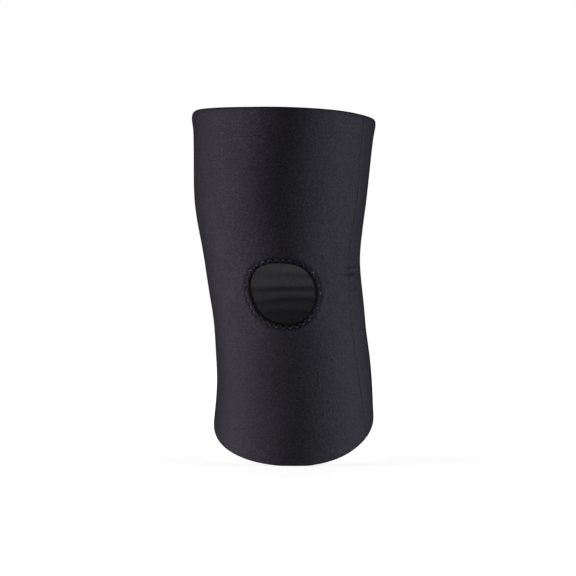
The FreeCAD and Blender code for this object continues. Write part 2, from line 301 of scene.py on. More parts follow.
def add_puckers(whole, from_seam, station):
    for place, rise, depth, width, start, end in PUCKERS:
        line = station - (place + rise * from_seam / 40.0)
        window = (smooth(start - 3.0, start + 2.0, from_seam)
                  * (1 - smooth(end - 13, end, from_seam)))
        lips = bump(line - 2.1 * width, width) + bump(line + 2.1 * width, width)
        whole += -depth * window * bump(line, width) + 0.30 * depth * window * lips


def add_opening(whole, point, outside):
    for height, place, width in HOLE_RINGS:
        whole += height * bump(outside - place, width)
    # faint pull lines that fan out from the opening
    bearing = hole_polar(point)[1]
    fan = np.cos(7 * bearing + 0.5) * 0.6 + np.cos(11 * bearing + 2.0) * 0.4
    whole += 0.12 * fan * smooth(6.5, 12, outside) * (1 - smooth(16, 34, outside))


def round_over(distance, reach, fullness=0.98):
    """Drop of a rounded edge: greatest at the edge, 0 once reach millimetres away."""
    q = np.clip(1 - distance / reach, 0, 1)
    return 1 - np.sqrt(1 - fullness * q * q)


def add_rims(whole, angle, from_top, from_bottom):
    # a slight, wavy flare
    whole += (0.35 + 0.22 * np.sin(4 * angle + 1)) * bump(from_top, 9.0)
    whole += (0.30 + 0.20 * np.sin(3 * angle + 2)) * bump(from_bottom, 9.0)
    # a swell below the top rim on the -X side
    whole += 0.65 * bump(wrap(angle + 1.55), 0.55) * bump(from_top - 5.5, 5.0)
    # the rims turn in towards the leg, the top one most on the +X side
    plus_x = bump(wrap(angle - 1.50), 0.75)
    top_turn = 0.9 + 1.1 * plus_x + 0.25 * bump(wrap(angle + 1.5), 0.6)
    whole -= top_turn * round_over(from_top, 4.0 + 2.6 * plus_x)
    whole -= 0.7 * round_over(from_bottom, 3.2)


def seam_relief(from_seam, station):
    """Outer face along the seam: a groove with two soft lips, and needle dimples."""
    across = np.abs(from_seam)
    outer = -0.14 * bump(across, 1.60) + 0.07 * bump(across - 3.2, 1.3)
    stitch = (station + STITCH_DATUM) / SEAM_PITCH
    for side, shift in ((1, 0.0), (-1, 0.5)):
        along = ((stitch + shift + 0.5) % 1.0 - 0.5) * SEAM_PITCH
        outer -= 0.20 * bump(along, 0.75) * bump(from_seam - side * SEAM_HALF_W, 0.6)
    return outer


def relief(angle, station):
    """Stand-off of the whole cloth, extra on its outer face, extra on its inner face,
    and the distance to a cut edge, with 1.5 mm added at the seam."""
    point = surface(angle, station)
    outside = hole_distance(point)
    from_seam = wrap(angle - seam_angle(station)) * GIRTH_R
    from_top = np.maximum(-above_rim(point, angle, TOP), 0.0)
    from_bottom = np.maximum(above_rim(point, angle, BOTTOM), 0.0)

    whole = sum(height * np.sin(around * angle + along * station + phase)
                for height, around, along, phase in UNDULATION)
    whole = whole * smooth(2, 30, np.abs(outside))
    add_creases(whole, angle, station)
    add_puckers(whole, from_seam, station)
    add_opening(whole, point, outside)
    add_rims(whole, angle, from_top, from_bottom)

    outer = seam_relief(from_seam, station)
    inner = np.zeros_like(whole)
    # needle dimples round the opening, on both faces, and a softened cut edge
    near = (outside < 12) & (outside > -3)
    to_needle = np.hypot(point[near][:, None, 0] - RING_X[None],
                         point[near][:, None, 2] - RING_Z[None])
    outer[near] -= 0.26 * bump(to_needle, 0.75).sum(1)
    outer[near] -= 0.22 * bump(outside[near], 0.7)
    inner[near] += 0.18 * bump(to_needle, 0.70).sum(1)

    # the cut edges of the knit are rounded over
    seam_side = np.maximum(np.abs(from_seam) - SEAM_GAP / 2, 0)
    free_edge = np.minimum(np.minimum(from_top, from_bottom), outside)
    outer -= 0.16 * round_over(np.minimum(free_edge, seam_side), 0.30, fullness=1.0)
    return whole, outer, inner, np.minimum(free_edge, seam_side + 1.5)


def cloth_point(angle, station, off):
    """A point off millimetres out of the relaxed outer face."""
    whole = relief(angle, station)[0]
    return surface(angle, station) + surface_normal(angle, station) * (whole + off)[..., None]


# =============================================================================
# Mesh helpers. The "knit" attribute holds cloth coordinates: across, along, edge.
# =============================================================================
def make_object(name, points_mm, faces, knit, sharp_degrees, ring=None):
    mesh = bpy.data.meshes.new(name)
    mesh.from_pydata((points_mm * 0.001).tolist(), [], [list(map(int, face)) for face in faces])
    mesh.validate()
    attribute = mesh.attributes.new("knit", "FLOAT_VECTOR", "POINT")
    attribute.data.foreach_set("vector", np.asarray(knit, np.float32).ravel())
    if ring is not None:
        attribute = mesh.attributes.new("ring", "FLOAT", "POINT")
        attribute.data.foreach_set("value", np.asarray(ring, np.float32))
    mesh.polygons.foreach_set("use_smooth", [True] * len(mesh.polygons))
    mesh.set_sharp_from_angle(angle=math.radians(sharp_degrees))
    mesh.update()
    obj = bpy.data.objects.new(name, mesh)
    bpy.context.scene.collection.objects.link(obj)
    return obj


def grid_quads(ids):
    """Quads between neighbours of a 2D array of vertex numbers, kept as a 2D array."""
    return np.stack([ids[:-1, :-1], ids[1:, :-1], ids[1:, 1:], ids[:-1, 1:]], -1)


def free_edges(faces):
    """Directed edges that no neighbouring face shares."""
    start = faces.ravel()
    end = np.roll(faces, -1, axis=1).ravel()
    count = int(faces.max()) + 1
    free = ~np.isin(end * count + start, start * count + end)
    return np.stack([start[free], end[free]], 1)


def closed_shell(outer, inner, faces, knit, segments=1, roughness=None):
    """Two matching faces joined round every free edge: (vertices, faces, knit)."""
    count = len(outer)
    edges = free_edges(faces)
    border = np.unique(edges)
    points, knits, levels = [outer, inner], [knit, knit], [border]
    for level in range(1, segments):
        t = level / segments
        points.append(outer[border] * (1 - t) + inner[border] * t
                      + roughness[border] * (4 * t * (1 - t)))
        wall_knit = knit[border].copy()
        wall_knit[:, 2] = -t
        knits.append(wall_knit)
        levels.append(2 * count + (level - 1) * len(border) + np.arange(len(border)))
    levels.append(border + count)

    start, end = np.searchsorted(border, edges).T
    quads = [faces, faces[:, ::-1] + count]
    for upper, lower in zip(levels, levels[1:]):
        quads.append(np.stack([upper[end], upper[start], lower[start], lower[end]], 1))
    return np.concatenate(points), np.concatenate(quads), np.concatenate(knits)


# =============================================================================
# The cloth: columns from the seam right round to the seam, rows from rim to rim,
# and rings of quads round the opening
# =============================================================================
GIRTH = 2 * PI * GIRTH_R
NEAR_SEAM = np.array([SEAM_GAP / 2, 0.34, 0.50, 0.80, 1.15, 1.50, 1.90, 2.30, 2.80, 3.50,
                      4.50, 5.80])
COLUMN_STEP = 2.15
NEAR_RIM = np.array([0, 0.07, 0.16, 0.30, 0.7, 1.4, 2.4])
MIDDLE_ROWS = 172
# distances of the rings from the cut edge, in proportion to the last
RING_STEPS = np.array([
    0, .07, .16, .30, .6, 1.0, 1.5, 2.0, 2.5, 3.0, 3.6, 4.2, 4.8, 5.4, 6.0, 6.7, 7.5, 8.5,
    9.8, 11.2, 12.8]) / 12.8
# block of the grid replaced by the rings: angles and stations
BLOCK_ANGLES = (-39, 38)
BLOCK_STATIONS = (-22.5, 38.5)

middle_width = GIRTH - 2 * NEAR_SEAM[-1]
middle_columns = np.linspace(NEAR_SEAM[-1], GIRTH - NEAR_SEAM[-1],
                             int(round(middle_width / COLUMN_STEP)) + 1)
COLUMNS = np.concatenate(
    [NEAR_SEAM[:-1], middle_columns, GIRTH - NEAR_SEAM[:-1][::-1]]) / GIRTH_R
LOW_ENDS = rim_station(COLUMNS, BOTTOM)
TOP_ENDS = rim_station(COLUMNS, TOP)


def row_stations():
    """Stations of the grid, columns by rows, closer together where the seam puckers."""
    low = LOW_ENDS + NEAR_RIM[-1]
    high = TOP_ENDS - NEAR_RIM[-1]
    t = np.linspace(0, 1, 4001)
    pucker_t = (13.0 - low[0]) / (high[0] - low[0])
    density = np.cumsum(1 + bump(t - pucker_t, 0.062))
    share = (density - density[0]) / (density[-1] - density[0])
    middle = np.interp(np.linspace(0, 1, MIDDLE_ROWS), share, t)
    return np.stack([LOW_ENDS + step for step in NEAR_RIM[:-1]]
                    + [low + (high - low) * part for part in middle]
                    + [TOP_ENDS - step for step in NEAR_RIM[:-1][::-1]], 1)


def cloth_grid():
    """Angles, stations and quads of one layer of the cloth."""
    stations = row_stations()
    angles = seam_angle(stations) + COLUMNS[:, None]
    ids = np.arange(stations.size).reshape(stations.shape)

    def nearest(values, target):
        return int(np.argmin(np.abs(values - target)))

    middle_row = angles[:, stations.shape[1] // 2] - 2 * PI
    c0, c1 = [nearest(middle_row, math.radians(degrees)) for degrees in BLOCK_ANGLES]
    r0, r1 = [nearest(stations[(c0 + c1) // 2], target) for target in BLOCK_STATIONS]
    quads = grid_quads(ids)
    keep = np.ones(quads.shape[:2], bool)
    keep[c0:c1, r0:r1] = False

    # rings from the cut edge out to the loop of vertices round the block
    loop = np.concatenate([ids[c0:c1, r0], ids[c1, r0:r1], ids[c1:c0:-1, r1], ids[c0, r1:r0:-1]])
    loop_angle, loop_station = angles.ravel()[loop] - 2 * PI, stations.ravel()[loop]
    bearing = hole_polar(surface(loop_angle, loop_station))[1]
    cut_angle, cut_station = wall_coordinates(*hole_outline(bearing, EDGE_GROW))
    steps = RING_STEPS[:-1, None]
    ring_angles = cut_angle + (loop_angle - cut_angle) * steps
    ring_stations = cut_station + (loop_station - cut_station) * steps
    rings = [*(ids.size + np.arange(ring_angles.size).reshape(ring_angles.shape)), loop]
    faces = [quads[keep]]
    for near, far in zip(rings, rings[1:]):
        faces.append(np.stack([near, far, np.roll(far, -1), np.roll(near, -1)], 1))
    faces = np.concatenate(faces)

    # drop the vertices inside the block
    all_angles = np.concatenate([angles.ravel(), ring_angles.ravel()])
    all_stations = np.concatenate([stations.ravel(), ring_stations.ravel()])
    used = np.zeros(len(all_angles), bool)
    used[faces] = True
    return all_angles[used], all_stations[used], (np.cumsum(used) - 1)[faces]


CLOTH_ANGLE, CLOTH_STATION, CLOTH_FACES = cloth_grid()
WHOLE, OUTER_FACE, INNER_FACE, EDGE_DISTANCE = relief(CLOTH_ANGLE, CLOTH_STATION)
CLOTH_BASE = surface(CLOTH_ANGLE, CLOTH_STATION)
CLOTH_NORMAL = surface_normal(CLOTH_ANGLE, CLOTH_STATION)
CLOTH_KNIT = np.stack([(CLOTH_ANGLE - seam_angle(CLOTH_STATION)) % (2 * PI) * GIRTH_R,
                       CLOTH_STATION, EDGE_DISTANCE], 1)


def cloth_layer(name, depths, outer_relief, inner_relief, **wall):
    outer = CLOTH_BASE + CLOTH_NORMAL * (WHOLE + outer_relief - depths[0])[:, None]
    inner = CLOTH_BASE + CLOTH_NORMAL * (WHOLE + inner_relief - depths[1])[:, None]
    points, faces, knit = closed_shell(outer, inner, CLOTH_FACES, CLOTH_KNIT, **wall)
    ring = np.clip(hole_distance(points), -5, 99)
    return make_object(name, points, faces, knit, sharp_degrees=42, ring=ring)


# the knife-cut foam face is uneven
foam_roughness = np.random.default_rng(5).normal(0, 0.045, (len(CLOTH_ANGLE), 3))
jersey = cloth_layer("outer_jersey", JERSEY, OUTER_FACE, OUTER_FACE)
foam = cloth_layer("foam_core", FOAM, OUTER_FACE, INNER_FACE,
                   segments=4, roughness=foam_roughness)
lining = cloth_layer("inner_lining", LINING, INNER_FACE, INNER_FACE)


# =============================================================================
# Strips that follow the seam
# =============================================================================
def seam_strip(name, columns, end_gap, outer_off, inner_off, rows=190):
    """columns: distances across the seam; the offs are functions of across and station."""
    columns = np.array(columns, float)
    from_seam = columns / GIRTH_R
    low = rim_station(from_seam, BOTTOM) + end_gap
    high = rim_station(from_seam, TOP) - end_gap
    station = low[:, None] + (high - low)[:, None] * np.linspace(0, 1, rows)[None]
    angle = (seam_angle(station) + from_seam[:, None]).ravel()
    faces = grid_quads(np.arange(station.size).reshape(station.shape)).reshape(-1, 4)
    station = station.ravel()
    across = np.repeat(columns, rows)
    outer = cloth_point(angle, station, outer_off(across, station))
    inner = cloth_point(angle, station, inner_off(across, station))
    edge = np.minimum(np.abs(across - columns[0]), np.abs(columns[-1] - across))
    knit = np.stack([across, station, edge], 1)
    return make_object(name, *closed_shell(outer, inner, faces, knit), sharp_degrees=50)


def cement_outer(across, station):
    ripple = 0.03 * np.sin(station * 1.9) * np.sin(station * 0.73 + 1)
    return -0.31 + ripple - 0.4 * across * across


def cement_inner(across, station):
    return np.full_like(across, -2.80)


# the tape clears the lining and the under threads, and closes on the lining at its edges
TAPE_CLEARANCE, THREAD_ROOM, TAPE_THICKNESS = 0.08, 0.50, 0.45
TAPE_DEPTH = LINING[1] + TAPE_CLEARANCE + THREAD_ROOM + TAPE_CLEARANCE
TAPE_HALF = [0, 1, 2, 3, 4.2, 5.2, 5.8, 6.0]


def tape_outer(across, station):
    return -(TAPE_DEPTH - 0.38 * smooth(2.6, 5.0, np.abs(across)))


def tape_inner(across, station):
    return tape_outer(across, station) - TAPE_THICKNESS + 0.10 * smooth(5.2, 6.0, np.abs(across))


cement = seam_strip("seam_cement", [-0.21, -0.07, 0.07, 0.21], 0.15, cement_outer, cement_inner)
tape = seam_strip("inner_seam_tape", [-x for x in TAPE_HALF[:0:-1]] + TAPE_HALF, 1.0,
                  tape_outer, tape_inner)


# =============================================================================
# Threads
# =============================================================================
def thread_tubes(name, paths, radius, sides=8, twist=3.2, crest=False):
    """Closed two-ply threads along (points, normals) paths. With crest, the third knit
    value rises to 1 at every other needle hole."""
    around = np.arange(sides) * 2 * PI / sides
    all_points, all_faces, all_knit = [], [], []
    base = 0
    for number, (points, normals) in enumerate(paths):
        count = len(points)
        tangent = np.gradient(points, axis=0)
        tangent /= np.linalg.norm(tangent, axis=1, keepdims=True)
        side = np.cross(tangent, normals)
        side /= np.linalg.norm(side, axis=1, keepdims=True)
        up = np.cross(side, tangent)
        lengths = np.linalg.norm(np.diff(points, axis=0), axis=1)
        along = np.concatenate([[0], np.cumsum(lengths)])[:, None]
        taper = np.ones((count, 1))
        taper[[0, -1]] = 0.55
        bulge = radius * taper * (1.0 + 0.13 * np.cos(around * 2 + twist * along))
        rings = (points[:, None] + (np.cos(around) * bulge)[..., None] * side[:, None]
                 + (np.sin(around) * bulge)[..., None] * up[:, None])
        all_points += [rings.reshape(-1, 3), rings[:1].mean(1), rings[-1:].mean(1)]

        height = np.zeros((count, 1))
        if crest:
            t = np.arange(count)[:, None] / (count - 1.0)
            height = 1 - t if number % 2 == 0 else t
        knit = np.broadcast_arrays(around * radius, along, height)
        all_knit += [np.stack(knit, -1).reshape(-1, 3), np.zeros((2, 3))]

        ids = base + np.arange(count * sides).reshape(count, sides)
        ids = np.hstack([ids, ids[:, :1]])
        all_faces += grid_quads(ids).reshape(-1, 4).tolist()
        first_cap = base + count * sides
        for j in range(sides):
            all_faces.append((first_cap, ids[0, j], ids[0, j + 1]))
            all_faces.append((first_cap + 1, ids[-1, j + 1], ids[-1, j]))
        base = first_cap + 2
    return make_object(name, np.concatenate(all_points), all_faces,
                       np.concatenate(all_knit), sharp_degrees=80)


def thread_leg(start, end, high, low, inside, count=9):
    """Thread between two needle holes: it dives at both ends and lies on the cloth between."""
    t = np.linspace(0.0, 1.0, count)
    angle, station = [a + (b - a) * t for a, b in zip(start, end)]
    height = low + (high - low) * np.sin(PI * t) ** 0.45
    whole, outer, inner, _ = relief(angle, station)
    base, normal = surface(angle, station), surface_normal(angle, station)
    if inside:
        return base + normal * (whole + inner - LINING[1] - height)[:, None], -normal
    bridged = np.maximum(outer, np.linspace(outer[0], outer[-1], count))
    return base + normal * (whole + bridged + height)[:, None], normal


def thread_run(holes, high, low, inside=False):
    return [thread_leg(a, b, high, low, inside) for a, b in zip(holes, holes[1:])]


def seam_holes():
    """Needle holes in zigzag along the seam, clear of both rims."""
    half_pitch = SEAM_PITCH / 2
    holes = []
    number = math.ceil((float(LOW_ENDS[0]) + 2.2 + STITCH_DATUM) / half_pitch)
    while number * half_pitch - STITCH_DATUM < float(TOP_ENDS[0]) - 2.0:
        station = number * half_pitch - STITCH_DATUM
        side = 1 if number % 2 == 0 else -1
        holes.append((float(seam_angle(station)) + side * SEAM_HALF_W / GIRTH_R, station))
        number += 1
    return holes


ring_holes = list(zip(*wall_coordinates(RING_X, RING_Z)))
ring_holes.append(ring_holes[0])
ring_thread = thread_tubes("patella_edge_thread", thread_run(ring_holes, high=0.24, low=-0.22),
                           radius=0.32, crest=True)
ring_under_thread = thread_tubes(
    "patella_edge_under_thread", thread_run(ring_holes, high=0.24, low=-0.05, inside=True),
    radius=0.27)
zigzag_holes = seam_holes()
seam_thread = thread_tubes("seam_zigzag_thread", thread_run(zigzag_holes, high=0.10, low=-0.25),
                           radius=0.20)
seam_under_thread = thread_tubes(
    "seam_under_thread", thread_run(zigzag_holes, high=0.26, low=-0.02, inside=True),
    radius=0.20)


# =============================================================================
# Care label: a folded satin loop inside the back wall, sewn along its top
# =============================================================================
LABEL_W, LABEL_LOW, LABEL_HIGH = 26.0, 92.0, 128.0
LABEL_FOLD = 1.2                            # height of the fold at the bottom
LABEL_HALF_THICK = 0.09
LABEL_DEPTH = LINING[1] + 0.12
STITCH_ROWS = (2.0, 4.5)                    # below the top of the label
STITCH_INSET, STITCH_PITCH, STITCH_LENGTH = 2.2, 3.75, 2.9


def label_profile():
    """Heights and offsets from the lining: down the near leaf, round the fold, up the far."""
    down, up = np.linspace(0, 1, 30), np.linspace(1, 0, 30)
    turn = np.linspace(0.15, 0.85, 6) * PI
    drop = LABEL_HIGH - LABEL_LOW - LABEL_FOLD
    heights = np.concatenate([LABEL_HIGH - down * drop,
                              LABEL_LOW + LABEL_FOLD - LABEL_FOLD * np.sin(turn),
                              LABEL_HIGH - up * drop])
    offsets = np.concatenate([0.10 + 0.9 * down ** 2,
                              1.0 + 0.75 - 0.75 * np.cos(turn),
                              0.55 + 1.95 * up ** 1.6])
    return heights, offsets


def make_label():
    heights, offsets = label_profile()
    x, z = np.meshgrid(np.linspace(-LABEL_W / 2, LABEL_W / 2, 27), heights, indexing="ij")
    # the free end waves a little
    hang = ((LABEL_HIGH - z) / (LABEL_HIGH - LABEL_LOW)) ** 1.5
    off = offsets + 0.35 * np.sin(x * 0.16 + 0.4) * hang
    angle, station = wall_coordinates(x.ravel(), z.ravel(), back=True)
    points = cloth_point(angle, station, -(LABEL_DEPTH + off.ravel()))
    grid = points.reshape(x.shape + (3,))
    normal = np.cross(np.gradient(grid, axis=0), np.gradient(grid, axis=1))
    normal /= np.linalg.norm(normal, axis=-1, keepdims=True)
    half = normal.reshape(-1, 3) * LABEL_HALF_THICK
    arc = np.concatenate([[0], np.cumsum(np.hypot(np.diff(heights), np.diff(offsets)))])
    knit = np.stack([x, np.broadcast_to(arc, x.shape), LABEL_W / 2 - np.abs(x)], -1)
    faces = grid_quads(np.arange(x.size).reshape(x.shape)).reshape(-1, 4)
    shell = closed_shell(points + half, points - half, faces, knit.reshape(-1, 3))
    return make_object("care_label", *shell, sharp_degrees=60)


def label_stitch_paths():
    t = np.linspace(0, 1, 8)
    height = 0.62 + 0.28 * np.sin(PI * t) ** 0.5
    paths = []
    for below_top in STITCH_ROWS:
        for k in range(6):
            x = -LABEL_W / 2 + STITCH_INSET + k * STITCH_PITCH + STITCH_LENGTH * t
            z = np.full(len(t), LABEL_HIGH - below_top)
            angle, station = wall_coordinates(x, z, back=True)
            paths.append((cloth_point(angle, station, -(LABEL_DEPTH + height)),
                          -surface_normal(angle, station)))
    return paths


label = make_label()
label_thread = thread_tubes("care_label_stitches", label_stitch_paths(), radius=0.16,
                            sides=7, twist=4.0)


# =============================================================================
# Materials
# =============================================================================
class Nodes:
    """Shorthand for building the node tree of a material or world."""

    def __init__(self, owner, output="ShaderNodeOutputMaterial"):
        owner.use_nodes = True
        self.owner, self.tree = owner, owner.node_tree
        self.tree.nodes.clear()
        self.out = self.add(output)

    def put(self, socket, value):
        if isinstance(value, bpy.types.NodeSocket):
            self.tree.links.new(value, socket)
        elif socket.type == "RGBA":
            socket.default_value = (*value, 1.0)
        else:
            socket.default_value = value

    def add(self, kind, inputs=None, **props):
        node = self.tree.nodes.new(kind)
        for key, value in props.items():
            setattr(node, key, value)
        for key, value in (inputs or {}).items():
            self.put(node.inputs[key], value)
        return node

    def math(self, operation, first, second=0.0, *third):
        inputs = dict(enumerate((first, second, *third)))
        return self.add("ShaderNodeMath", inputs, operation=operation).outputs[0]

    def times(self, first, *factors):
        for factor in factors:
            first = self.math("MULTIPLY", first, factor)
        return first

    def layered(self, first, *layers):
        """first, plus each (layer, weight)."""
        for layer, weight in layers:
            first = self.math("ADD", first, self.times(layer, weight))
        return first

    def unit_sine(self, phase):
        return self.math("MULTIPLY_ADD", self.math("SINE", phase), 0.5, 0.5)

    def noise(self, vector, scale, detail=3.0, rough=0.55):
        return self.add("ShaderNodeTexNoise", {"Vector": vector, "Scale": scale,
                                               "Detail": detail, "Roughness": rough}).outputs[0]

    def mix(self, factor, first, second):
        return self.add("ShaderNodeMix", {0: factor, 6: first, 7: second},
                        data_type="RGBA").outputs[2]

    def ramp(self, value, span, to=(0.0, 1.0), soft=False):
        return self.add("ShaderNodeMapRange",
                        {"Value": value, "From Min": span[0], "From Max": span[1],
                         "To Min": to[0], "To Max": to[1]},
                        interpolation_type="SMOOTHSTEP" if soft else "LINEAR").outputs[0]

    def stretched(self, vector, x=1.0, y=1.0, z=1.0):
        return self.add("ShaderNodeMapping", {"Vector": vector, "Scale": (x, y, z)}).outputs[0]

    def fabric(self):
        return self.add("ShaderNodeAttribute", attribute_name="knit").outputs["Vector"]

    def split(self, vector):
        """across, along, edge"""
        return self.add("ShaderNodeSeparateXYZ", {0: vector}).outputs[:3]

    def position(self):
        return self.add("ShaderNodeNewGeometry").outputs["Position"]

    def finish(self, color, rough, height, distance, strength, **extra):
        """Principled surface with bump; extra keywords name its other inputs."""
        bump_node = self.add("ShaderNodeBump", {"Strength": strength, "Distance": distance,
                                                "Height": height})
        inputs = {"Base Color": color, "Roughness": rough, "Normal": bump_node.outputs[0]}
        inputs.update({key.replace("_", " "): value for key, value in extra.items()})
        self.put(self.out.inputs[0], self.add("ShaderNodeBsdfPrincipled", inputs).outputs[0])
        return self.owner


def material_nodes(name):
    return Nodes(bpy.data.materials.new(name))


def knit_height(n, across, along, wale, course):
    """Rounded wales with a V-shaped loop on each course."""
    column = n.math("DIVIDE", across, wale)
    row = n.math("DIVIDE", along, course)
    zigzag = n.math("PINGPONG", column, 0.5)
    ridge = n.math("POWER", n.math("ABSOLUTE", n.math("SINE", n.times(column, PI))), 0.6)
    loops = n.unit_sine(n.times(n.layered(row, (zigzag, 1.1)), 2 * PI))
    return n.math("MULTIPLY_ADD", n.times(ridge, loops), 0.45, n.times(ridge, 0.55))


def jersey_material(name, base, dark, light, wale, course, rough, sheen, gloss, fleck, tint):
    # dark colours painted as shade: at the cut edges and seam, under the stitch ring (with its
    # thread cover), and where the face turns away
    painted_edge_shade, ring_cover_and_shade_color, turned_away = ((0.0030, 0.0029, 0.0036), (0.0042, 0.0043, 0.0044),
                                      (0.0035, 0.0033, 0.0045))
    n = material_nodes(name)
    fabric = n.fabric()
    across, along, edge = n.split(fabric)
    loops = knit_height(n, across, along, wale, course)
    grain = n.noise(fabric, scale=1.35, detail=4.0, rough=0.62)
    mottle = n.noise(n.stretched(fabric, y=0.55), scale=0.50, rough=0.6)
    streak = n.noise(n.stretched(fabric, y=0.10), scale=0.62, rough=0.6)
    cross = n.noise(n.stretched(fabric, x=0.14), scale=0.8, rough=0.6)
    cloud = n.noise(fabric, scale=0.035, rough=0.5)
    speck = n.noise(n.stretched(fabric, y=0.8), scale=0.85, rough=0.65)
    tone = n.layered(n.times(grain, 0.34), (streak, 0.24), (mottle, 0.22), (cross, 0.10),
                     (cloud, 0.10))
    tone = n.ramp(tone, span=(0.40, 0.60))
    color = n.mix(tone, dark, base)
    color = n.mix(n.ramp(speck, span=(0.50, 0.66), to=(0.0, 0.22)), color, light)
    color = n.mix(n.ramp(speck, span=(0.34, 0.50), to=(0.60, 0.0)), color, dark)
    # painted highlight: light flecks on the crowns of the loops, scattered by the grain noise
    crown_highlight = n.times(n.ramp(grain, span=(0.56, 0.70)),
                  n.ramp(loops, span=(0.35, 0.9), to=(0.2, 1.0)))
    color = n.mix(n.times(crown_highlight, fleck), color, light)
    # painted shade: the valleys between loops are darkened, and so are the cut edges and the seam
    valley = n.ramp(loops, span=(0.0, 0.45), to=(1.0, 0.0))
    color = n.mix(n.times(valley, 0.45), color, dark)
    # painted shade: darker towards the cut edges and the seam, with less gloss there too
    rim = n.ramp(edge, span=(0.35, 1.55), to=(0.88, 0.0), soft=True)
    color = n.mix(rim, color, painted_edge_shade)
    # under the ring of stitches the cloth is crushed and covered by thread, and painted shade
    # darkens it there too
    ring = n.add("ShaderNodeAttribute", attribute_name="ring").outputs["Fac"]
    ring_cover_and_shade = n.times(n.ramp(ring, span=(3.6, 5.6), to=(1.0, 0.0), soft=True),
                    n.ramp(mottle, span=(0.35, 0.65), to=(0.80, 0.50)))
    color = n.mix(ring_cover_and_shade, color, ring_cover_and_shade_color)
    # the pile shades itself where the face turns away
    facing = n.add("ShaderNodeLayerWeight", {"Blend": 0.5}).outputs["Facing"]
    turned = n.ramp(facing, span=(0.79, 0.98), to=(1.0, 0.10), soft=True)
    color = n.mix(turned, turned_away, color)

    roughness = n.layered(rough, (n.math("SUBTRACT", grain, 0.5), 0.22),
                          (n.math("SUBTRACT", streak, 0.5), 0.25))
    height = n.layered(loops, (n.noise(fabric, scale=3.4, detail=2.0), 0.8),
                       (n.noise(n.stretched(fabric, y=0.5), scale=0.75), 1.5), (streak, 1.6))
    specular = n.times(n.ramp(tone, span=(0.0, 1.0), to=(0.72, 1.12)),
                       n.ramp(ring_cover_and_shade, span=(0.0, 1.0), to=(gloss, 0.50 * gloss)),
                       n.ramp(speck, span=(0.36, 0.64), to=(0.60, 1.40)),
                       n.math("SUBTRACT", 1.0, n.times(rim, 0.85)), turned)
    return n.finish(color, roughness, height, distance=0.00013, strength=0.85,
                    Sheen_Weight=sheen, Sheen_Roughness=0.45, Sheen_Tint=(0.82, 0.76, 1.0),
                    Specular_IOR_Level=specular, Specular_Tint=tint)


def foam_material():
    pore, wall, fleck = (0.0045, 0.0045, 0.005), (0.018, 0.018, 0.0195), (0.032, 0.032, 0.034)
    n = material_nodes("cut_foam")
    position = n.position()
    cells = n.add("ShaderNodeTexVoronoi", {"Vector": position, "Scale": 3400.0})
    pores = n.ramp(cells.outputs["Distance"], span=(0.0, 0.42))
    grain = n.noise(position, scale=900.0)
    color = n.mix(n.times(pores, 0.75), pore, wall)
    color = n.mix(n.ramp(grain, span=(0.5, 0.72), to=(0.0, 0.4)), color, fleck)
    return n.finish(color, 0.9, n.layered(pores, (grain, 0.7)), distance=0.00012, strength=0.9,
                    Specular_IOR_Level=0.12)


def thread_material(name, base, light, twist_scale=1.0, crest=0.0):
    """crest: how far the raised end of each stitch is painted towards a patchy highlight."""
    n = material_nodes(name)
    fabric = n.fabric()
    across, along, raised = n.split(fabric)
    phase = n.layered(n.times(along, 3.2 * twist_scale), (across, 7.0))
    twist = n.unit_sine(phase)
    hair = n.noise(n.stretched(fabric, x=6.0, y=1.4), scale=3.0)
    strand = n.ramp(hair, span=(0.4, 0.65), to=(0.3, 1.0))
    color = n.mix(n.times(twist, strand), base, light)
    if crest:
        # painted highlight: pale grey patches on the raised ends of the stitches, as glints
        patch = n.noise(n.position(), scale=240.0, detail=2.0)
        patchy_highlight = n.times(n.ramp(raised, span=(0.45, 0.85), soft=True),
                        n.ramp(patch, span=(0.42, 0.60), to=(0.15, 1.0), soft=True))
        color = n.mix(n.times(patchy_highlight, crest), color, (0.34, 0.345, 0.38))
    roughness = n.math("MULTIPLY_ADD", hair, 0.2, 0.34)
    return n.finish(color, roughness, n.layered(twist, (hair, 0.5)), distance=0.00008,
                    strength=0.8, Sheen_Weight=0.15, Sheen_Roughness=0.35,
                    Specular_IOR_Level=0.5)


def cement_material():
    dark, light = (0.023, 0.022, 0.026), (0.039, 0.037, 0.044)
    n = material_nodes("contact_cement")
    film = n.noise(n.stretched(n.fabric(), x=2.0, y=0.5), scale=1.6, detail=4.0)
    color = n.mix(n.ramp(film, span=(0.35, 0.65)), dark, light)
    roughness = n.ramp(film, span=(0.3, 0.7), to=(0.30, 0.55))
    return n.finish(color, roughness, film, distance=0.0001, strength=0.8,
                    Specular_IOR_Level=0.5)


def weave_material(name, base, dark, light, pitch_across, pitch_along, rough, selvedge):
    n = material_nodes(name)
    fabric = n.fabric()
    across, along, edge = n.split(fabric)
    warp = n.math("SINE", n.times(across, 2 * PI / pitch_across))
    weft = n.math("SINE", n.times(along, 2 * PI / pitch_along))
    over = n.math("MULTIPLY_ADD", n.times(warp, weft), 0.5, 0.5)
    grain = n.noise(fabric, scale=2.4)
    color = n.mix(n.ramp(grain, span=(0.38, 0.62)), dark, base)
    color = n.mix(n.times(over, 0.35), color, light)
    color = n.mix(n.ramp(edge, span=(0.0, selvedge), to=(0.55, 0.0)), color, dark)
    return n.finish(color, rough, n.layered(over, (grain, 0.5)), distance=0.0001, strength=0.8,
                    Sheen_Weight=0.1, Sheen_Roughness=0.4, Specular_IOR_Level=0.45)


